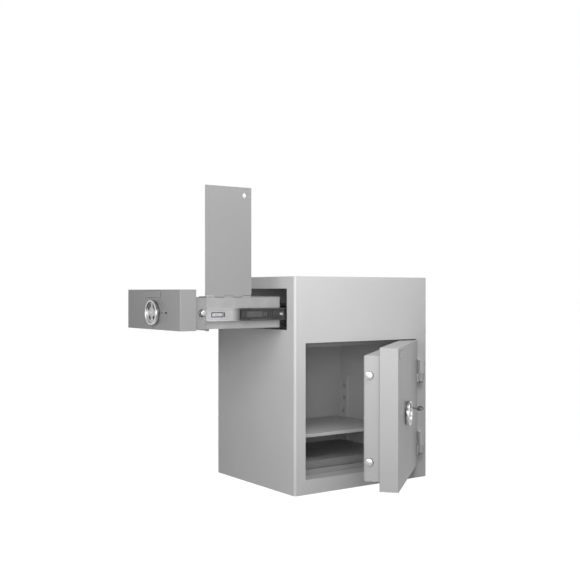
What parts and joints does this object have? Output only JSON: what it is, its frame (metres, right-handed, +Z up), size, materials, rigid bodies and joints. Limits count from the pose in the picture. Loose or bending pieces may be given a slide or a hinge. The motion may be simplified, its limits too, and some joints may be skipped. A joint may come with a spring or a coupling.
{
  "type": "drop safe with deposit drawer",
  "caption": "Floor-standing steel drop safe with a lidded deposit drawer pulled out of its left side and a hinged, bolted front door over a shelved storage space.",
  "frame": {"origin": "middle of the cabinet's underside", "axes": "+Z up, -Y out of the front with the door, -X the way the drawer pulls out"},
  "size_m": [0.863, 0.7055, 0.8653],
  "materials": {
    "cabinet_paint": "light grey satin powder coat",
    "door_paint": "grey satin powder coat",
    "inner_paint": "grey satin powder coat",
    "zinc": "zinc plated sheet",
    "chrome": "polished chrome",
    "handle_metal": "satin cast metal",
    "dark_steel": "dark phosphated steel",
    "plate": "light grey satin plate"
  },
  "bodies": {
    "cabinet": {"cabinet_shell": "cabinet_paint", "door_frame_lip": "inner_paint", "compartment_deck": "inner_paint", "anti_fishing_baffle": "zinc", "floor_plate": "inner_paint", "shelf": "inner_paint", "far_slide_bracket": "zinc", "shelf_rail_left_front": "zinc", "shelf_rail_left_rear": "zinc", "shelf_rail_right_front": "zinc", "shelf_rail_right_rear": "zinc", "shelf_hook_left_front": "zinc", "shelf_hook_left_rear": "zinc", "shelf_hook_right_front": "zinc", "shelf_hook_right_rear": "zinc", "anchor_plug_left": "dark_steel", "anchor_plug_right": "dark_steel", "hinge_block_lower": "cabinet_paint", "hinge_block_upper": "cabinet_paint", "hinge_pin_lower": "dark_steel", "hinge_pin_upper": "dark_steel", "slide_cabinet_member_near": "zinc", "slide_cabinet_member_far": "zinc"},
    "slide_middle_near": {"slide_middle_member_near": "dark_steel"},
    "slide_middle_far": {"slide_middle_member_far": "dark_steel"},
    "drawer": {"drawer_front": "door_paint", "drawer_lock_housing": "door_paint", "drawer_tray": "zinc", "tray_rear_cover": "zinc", "drop_flap_rod": "dark_steel", "lid_hinge_leaf": "zinc", "lid_hinge_pin": "dark_steel", "drawer_name_plate_blank": "plate", "drawer_lock_escutcheon": "handle_metal", "slide_drawer_member_near": "zinc", "slide_drawer_member_far": "zinc"},
    "lid": {"drawer_lid": "inner_paint"},
    "flap": {"drop_flap": "zinc"},
    "drawer_handle": {"drawer_handle": "handle_metal", "drawer_handle_spindle": "dark_steel"},
    "drawer_bolt_near": {"drawer_bolt_near": "chrome"},
    "drawer_bolt_far": {"drawer_bolt_far": "chrome"},
    "door": {"door_panel": "door_paint", "boltwork_frame": "door_paint", "boltwork_cover": "door_paint", "door_name_plate_blank": "plate", "door_lock_case": "dark_steel", "door_head_strip": "plate", "door_lock_escutcheon": "handle_metal", "hinge_knuckle_lower": "door_paint", "hinge_knuckle_upper": "door_paint", "hinge_side_dog_lower": "dark_steel", "hinge_side_dog_upper": "dark_steel"},
    "door_handle": {"door_handle": "handle_metal", "door_handle_spindle": "dark_steel"},
    "door_bolts": {"door_bolt_lower": "chrome", "door_bolt_upper": "chrome", "door_bolt_bar": "zinc"},
    "door_key": {"door_key": "dark_steel"}
  },
  "joints": [
    {"name": "drawer_slide", "type": "slide", "parent": "cabinet", "child": "drawer", "axis": [-1, 0, 0], "range_m": [-0.11, 0]},
    {"name": "slide_middle_near", "type": "slide", "parent": "cabinet", "child": "slide_middle_near", "axis": [-1, 0, 0], "range_m": [-0.066, 0]},
    {"name": "slide_middle_far", "type": "slide", "parent": "cabinet", "child": "slide_middle_far", "axis": [-1, 0, 0], "range_m": [-0.066, 0]},
    {"name": "lid_hinge", "type": "hinge", "parent": "drawer", "child": "lid", "pos_m": [-0.4357, -0.1572, 0.5628], "axis": [1, 0, 0], "range_deg": [-90, 0]},
    {"name": "flap_hinge", "type": "hinge", "parent": "drawer", "child": "flap", "pos_m": [-0.5002, -0.0115, 0.4731], "axis": [0, 1, 0], "range_deg": [0, 85]},
    {"name": "drawer_handle_turn", "type": "hinge", "parent": "drawer", "child": "drawer_handle", "pos_m": [-0.5925, -0.025, 0.519], "axis": [-1, 0, 0], "range_deg": [0, 90]},
    {"name": "drawer_bolt_near_slide", "type": "slide", "parent": "drawer", "child": "drawer_bolt_near", "axis": [0, -1, 0], "range_m": [0, 0.014]},
    {"name": "drawer_bolt_far_slide", "type": "slide", "parent": "drawer", "child": "drawer_bolt_far", "axis": [0, 1, 0], "range_m": [0, 0.014]},
    {"name": "door_hinge", "type": "hinge", "parent": "cabinet", "child": "door", "pos_m": [0.2195, -0.2235, 0.235], "axis": [0, 0, 1], "range_deg": [-40.3, 60]},
    {"name": "door_handle_turn", "type": "hinge", "parent": "door", "child": "door_handle", "pos_m": [0.01079, -0.38739, 0.2345], "axis": [0.6468, -0.7627, 0], "range_deg": [0, 90]},
    {"name": "door_bolt_slide", "type": "slide", "parent": "door", "child": "door_bolts", "axis": [-0.7627, -0.6468, 0], "range_m": [0, 0.016]},
    {"name": "door_key_turn", "type": "hinge", "parent": "door", "child": "door_key", "pos_m": [0.09468, -0.31624, 0.2345], "axis": [0.6468, -0.7627, 0], "range_deg": [0, 90]}
  ],
  "couplings": [
    {"joint": "slide_middle_near", "follows": "drawer_slide", "ratio": 0.6},
    {"joint": "slide_middle_far", "follows": "drawer_slide", "ratio": 0.6},
    {"joint": "drawer_bolt_near_slide", "follows": "drawer_handle_turn", "m_per_rad": 0.00891},
    {"joint": "drawer_bolt_far_slide", "follows": "drawer_handle_turn", "m_per_rad": 0.00891},
    {"joint": "door_handle_turn", "follows": "door_bolt_slide", "rad_per_m": 98.17}
  ]
}
